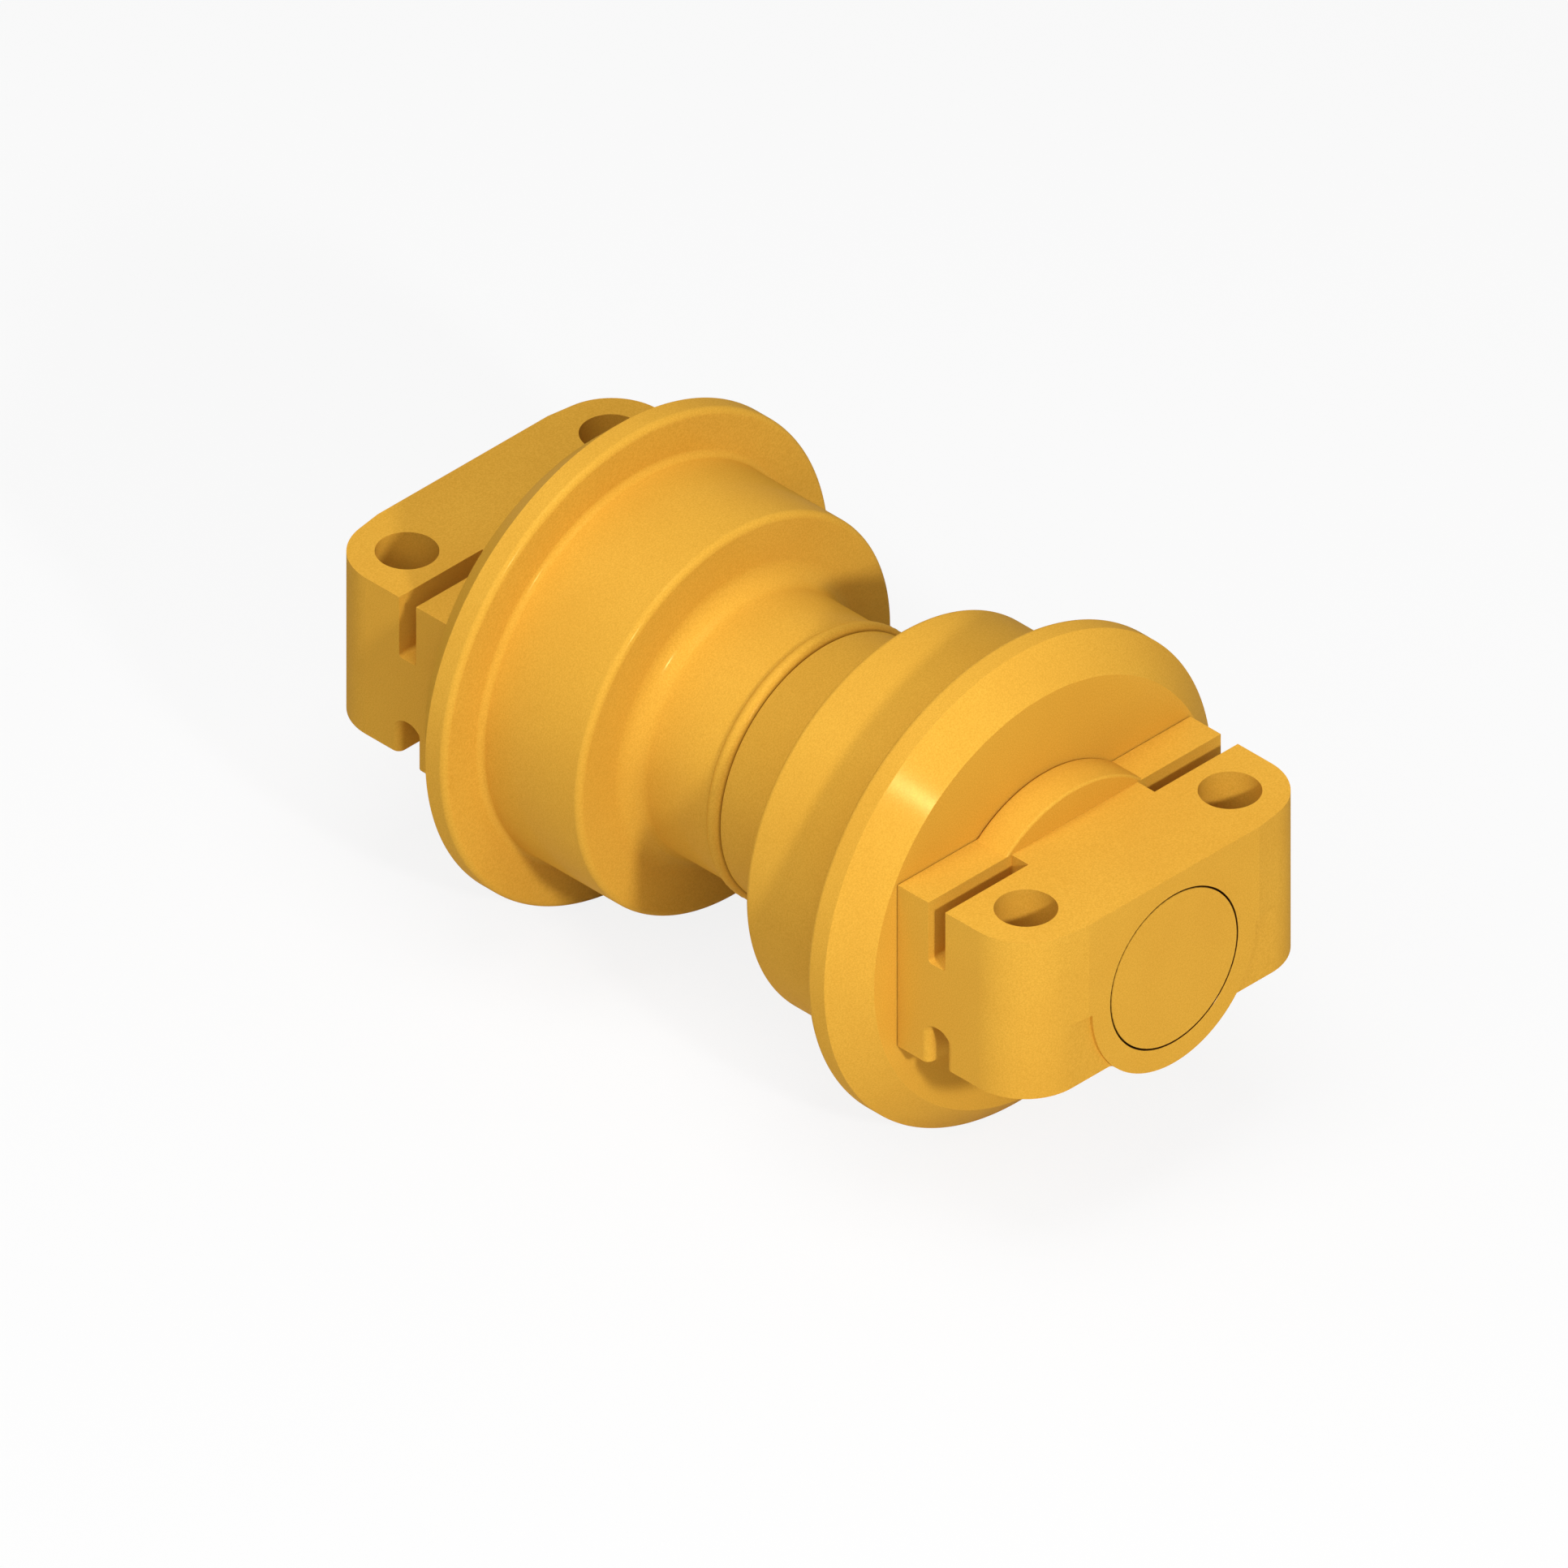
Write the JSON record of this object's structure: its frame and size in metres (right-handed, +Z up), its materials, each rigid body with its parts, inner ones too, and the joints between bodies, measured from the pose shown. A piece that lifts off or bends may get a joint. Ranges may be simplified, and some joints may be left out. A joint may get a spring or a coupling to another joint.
{
  "type": "single flange track roller",
  "caption": "Sealed bottom roller for a crawler track: flanged treads on a waisted hub, turning on a fixed shaft held by bolted end collars.",
  "frame": {"origin": "middle of the roller on the shaft axis, which is also the middle of its bounding box", "axes": "+Y along the shaft to the left end, +X along the track, +Z up to the collar faces that bolt to the track frame"},
  "size_m": [0.228, 0.4186, 0.228],
  "materials": {
    "roller_paint": "satin gold-yellow machine enamel over forged and turned steel",
    "weld_paint": "same enamel over a rippled weld bead",
    "collar_paint": "same enamel over cast iron with machined top and slot",
    "shaft_steel": "enamel on the two end faces, ground steel on the journals inside",
    "plug_paint": "enamel over steel",
    "bushing_bronze": "bored bronze",
    "seal_iron": "hard white iron, face lapped",
    "rubber": "moulded nitrile rubber",
    "pin_steel": "ground dowel",
    "copper": "soft copper washer"
  },
  "bodies": {
    "shaft_and_collars": {"shaft": "shaft_steel", "end_collar_left": "collar_paint", "end_collar_right": "collar_paint", "seal_ring_collar_left": "seal_iron", "seal_ring_collar_right": "seal_iron", "rubber_ring_collar_left": "rubber", "rubber_ring_collar_right": "rubber", "o_ring_left": "rubber", "o_ring_right": "rubber", "collar_pin_left": "pin_steel", "collar_pin_right": "pin_steel", "oil_plug": "plug_paint", "plug_sealing_ring": "copper"},
    "roller": {"roller_shell_left": "roller_paint", "roller_shell_right": "roller_paint", "weld_ring": "weld_paint", "bushing_left": "bushing_bronze", "bushing_right": "bushing_bronze", "seal_ring_roller_left": "seal_iron", "seal_ring_roller_right": "seal_iron", "rubber_ring_roller_left": "rubber", "rubber_ring_roller_right": "rubber"}
  },
  "joints": [
    {"name": "roller_spin", "type": "hinge", "parent": "shaft_and_collars", "child": "roller", "pos_m": [0, 0, 0], "axis": [0, 1, 0], "continuous": true}
  ]
}
